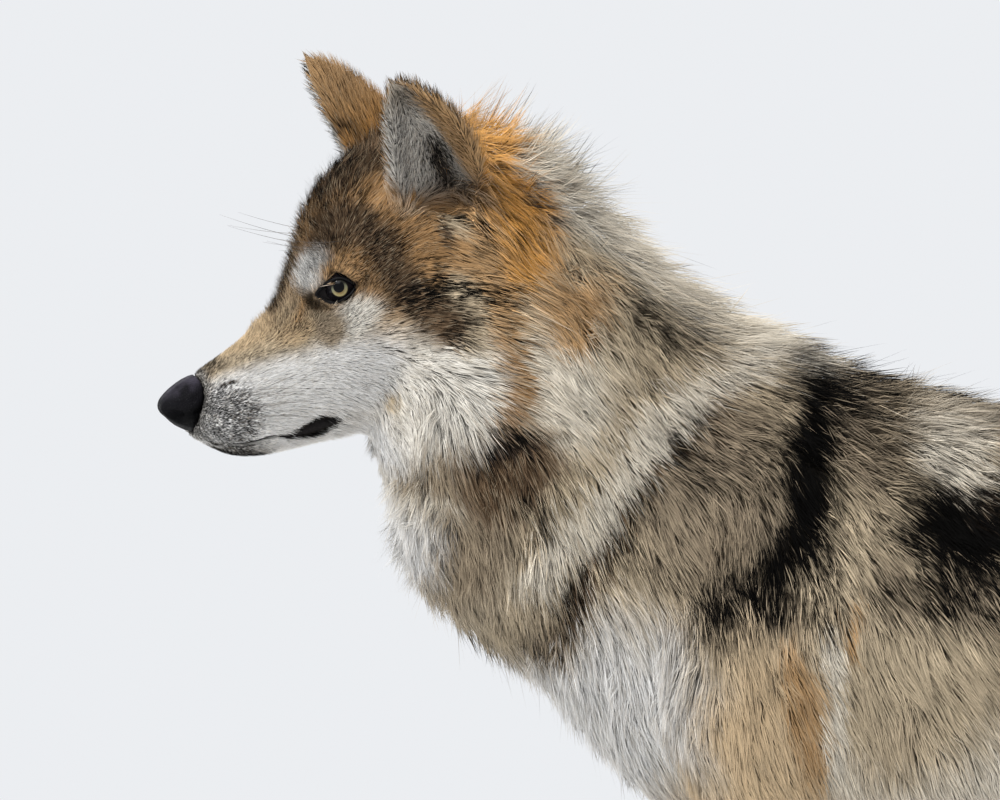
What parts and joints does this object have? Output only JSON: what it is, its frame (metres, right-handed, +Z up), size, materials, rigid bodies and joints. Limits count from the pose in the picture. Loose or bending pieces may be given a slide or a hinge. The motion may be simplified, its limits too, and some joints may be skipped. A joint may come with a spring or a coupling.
{
  "type": "grey wolf, standing",
  "caption": "Standing grey wolf in winter coat, head up and turned slightly left, tail hanging; a still life-size animal model.",
  "frame": {"origin": "on the floor, under the middle of the whole body's box", "axes": "+Z up; the wolf faces -X and its left side is towards -Y"},
  "size_m": [1.159, 0.2594, 0.9428],
  "materials": {
    "coat_grey": "soft winter fur, grey and cream with dark tips",
    "coat_dark": "soft winter fur, grey-brown with black tips",
    "coat_tawny": "short orange-brown fur",
    "coat_pale": "short whitish fur",
    "nose": "bare black skin, moist and finely pebbled",
    "eye": "wet and clear over an amber iris",
    "claw": "dark horn, worn smooth"
  },
  "bodies": {
    "root": {"head": "coat_grey", "lower_jaw": "coat_pale", "nose": "nose", "eye_left": "eye", "eye_right": "eye", "ear_left": "coat_tawny", "ear_right": "coat_tawny", "claw_fore_left_1": "claw", "claw_fore_left_2": "claw", "claw_fore_left_3": "claw", "claw_fore_left_4": "claw", "paw_fore_left": "coat_pale", "leg_fore_left": "coat_tawny", "claw_fore_right_1": "claw", "claw_fore_right_2": "claw", "claw_fore_right_3": "claw", "claw_fore_right_4": "claw", "paw_fore_right": "coat_pale", "leg_fore_right": "coat_tawny", "claw_hind_left_1": "claw", "claw_hind_left_2": "claw", "claw_hind_left_3": "claw", "claw_hind_left_4": "claw", "paw_hind_left": "coat_pale", "leg_hind_left": "coat_tawny", "claw_hind_right_1": "claw", "claw_hind_right_2": "claw", "claw_hind_right_3": "claw", "claw_hind_right_4": "claw", "paw_hind_right": "coat_pale", "leg_hind_right": "coat_tawny", "neck": "coat_grey", "trunk": "coat_dark", "tail": "coat_dark"}
  },
  "joints": []
}
